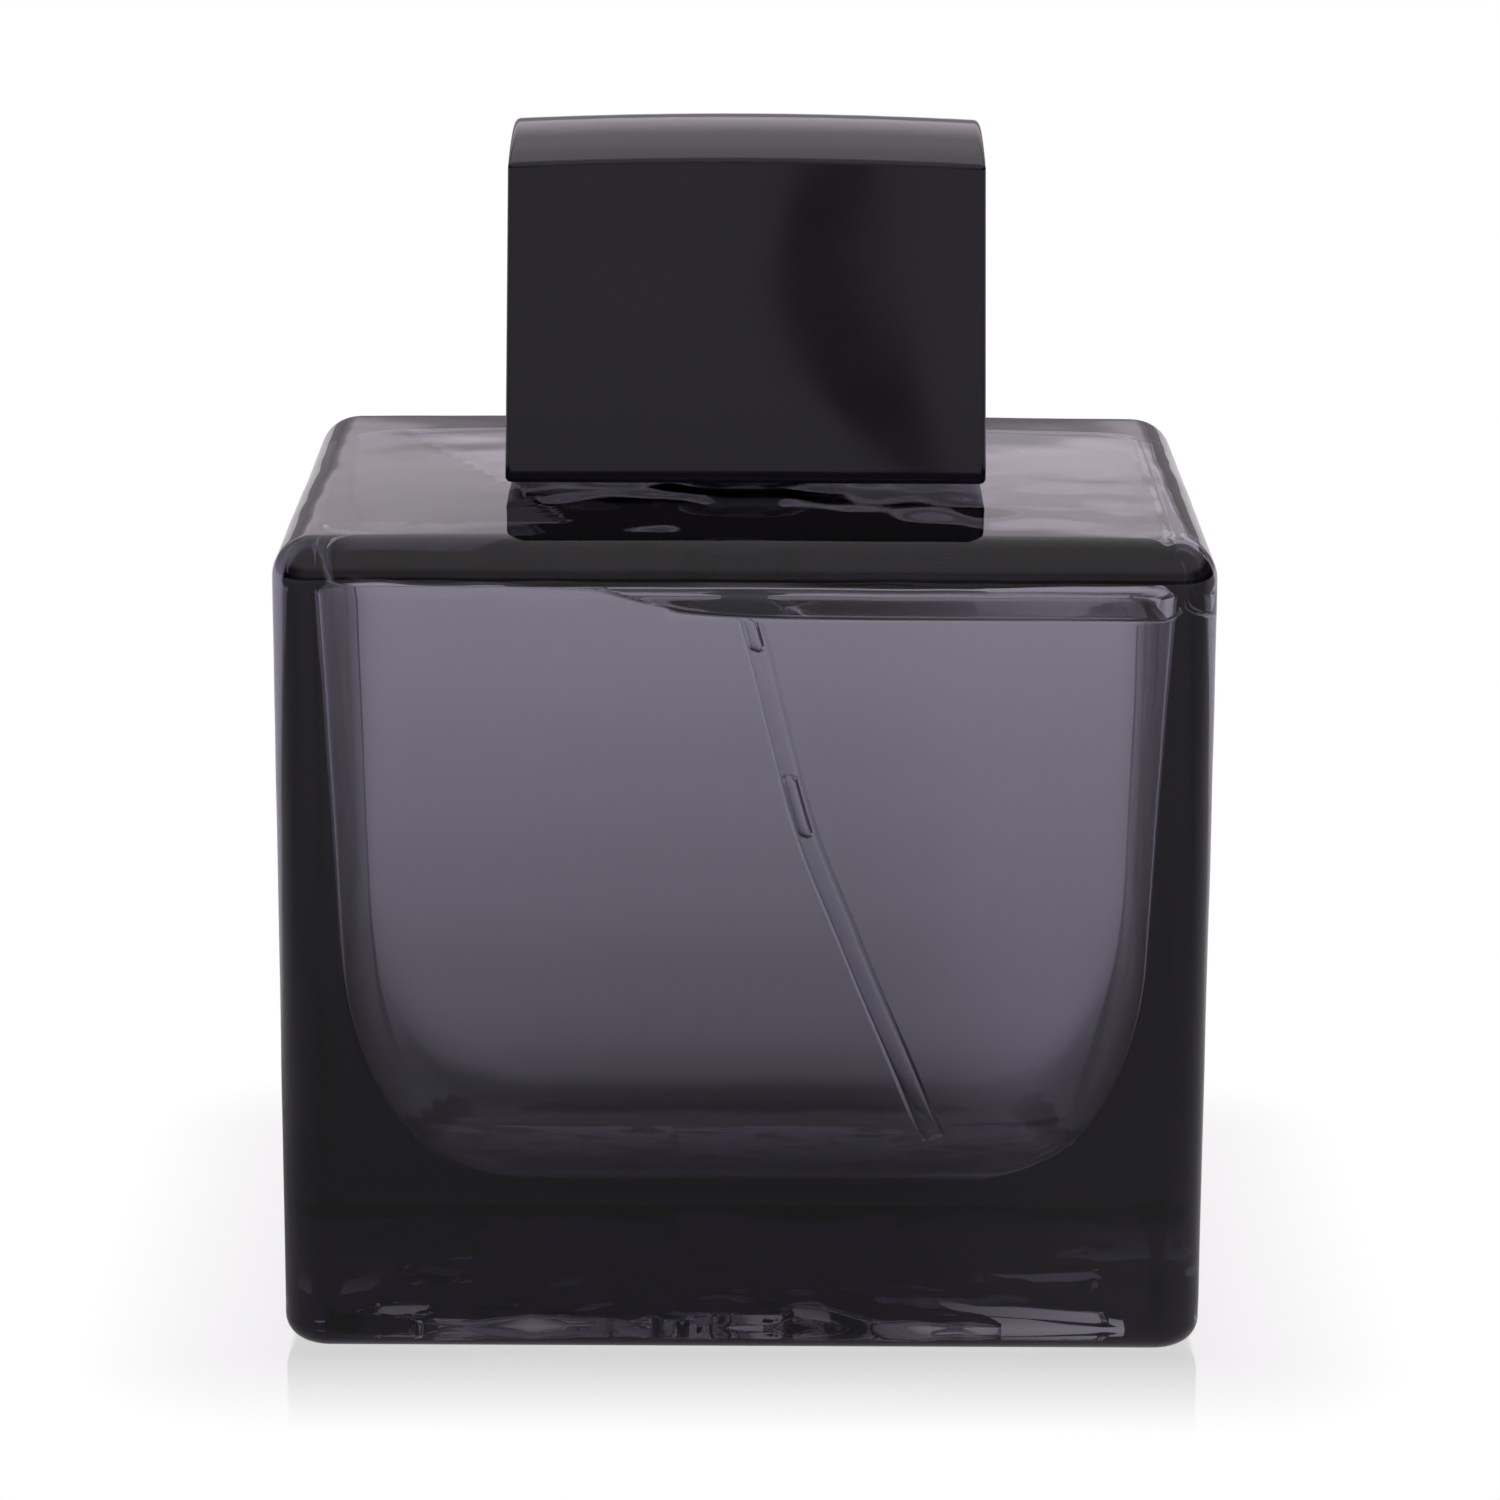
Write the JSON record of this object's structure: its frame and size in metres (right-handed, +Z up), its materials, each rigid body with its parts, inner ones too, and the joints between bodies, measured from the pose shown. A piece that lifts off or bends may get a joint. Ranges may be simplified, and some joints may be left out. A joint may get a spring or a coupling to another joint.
{
  "type": "aftershave bottle",
  "caption": "Square smoked-glass aftershave bottle with a crimped fine-mist pump, dip tube and an arched lift-off cap.",
  "frame": {"origin": "middle of the bottle's base, on the surface it stands on", "axes": "+Z up along the neck, X across the broad front, the front face and the spray orifice towards -Y"},
  "size_m": [0.07, 0.0522, 0.0911],
  "materials": {
    "smoked_glass": "polished",
    "lotion": "polished",
    "gasket_rubber": "matte",
    "ferrule_aluminium": "satin",
    "collar_black": "gloss",
    "natural_plastic": "satin",
    "white_plastic": "satin",
    "steel": "polished",
    "clear_tube": "gloss",
    "actuator_black": "gloss",
    "cap_black": "gloss",
    "liner_black": "satin"
  },
  "bodies": {
    "bottle": {"glass_bottle": "smoked_glass", "aftershave_lotion": "lotion", "neck_gasket": "gasket_rubber", "crimp_ferrule": "ferrule_aluminium", "collar": "collar_black", "pump_housing": "natural_plastic", "pump_turret": "white_plastic", "stem_seal": "gasket_rubber", "dip_tube": "clear_tube", "return_spring": "steel"},
    "cap": {"cap_shell": "cap_black", "cap_liner": "liner_black"},
    "plunger": {"piston": "white_plastic"},
    "spray_head": {"stem": "white_plastic", "actuator": "actuator_black", "nozzle_insert": "actuator_black", "outlet_spring": "steel"},
    "outlet_valve": {"outlet_valve_pin": "white_plastic"},
    "inlet_valve": {"inlet_ball": "steel"}
  },
  "joints": [
    {"name": "cap_pull", "type": "slide", "parent": "bottle", "child": "cap", "axis": [0, 0, 1], "range_m": [0, 0.032]},
    {"name": "pump_stroke", "type": "slide", "parent": "bottle", "child": "plunger", "axis": [0, 0, -1], "range_m": [0, 0.0033], "stiffness_N_per_m": 800, "springref_m": -0.008, "deforming": ["return_spring"]},
    {"name": "head_turn", "type": "hinge", "parent": "plunger", "child": "spray_head", "pos_m": [0, 0, 0.0805], "axis": [0, 0, 1], "continuous": true},
    {"name": "outlet_valve_lift", "type": "slide", "parent": "spray_head", "child": "outlet_valve", "axis": [0, 0, 1], "range_m": [0, 0.0005], "stiffness_N_per_m": 150, "springref_m": -0.004, "deforming": ["outlet_spring"]},
    {"name": "inlet_ball_lift", "type": "slide", "parent": "bottle", "child": "inlet_valve", "axis": [0, 0, 1], "range_m": [0, 0.0005]}
  ]
}
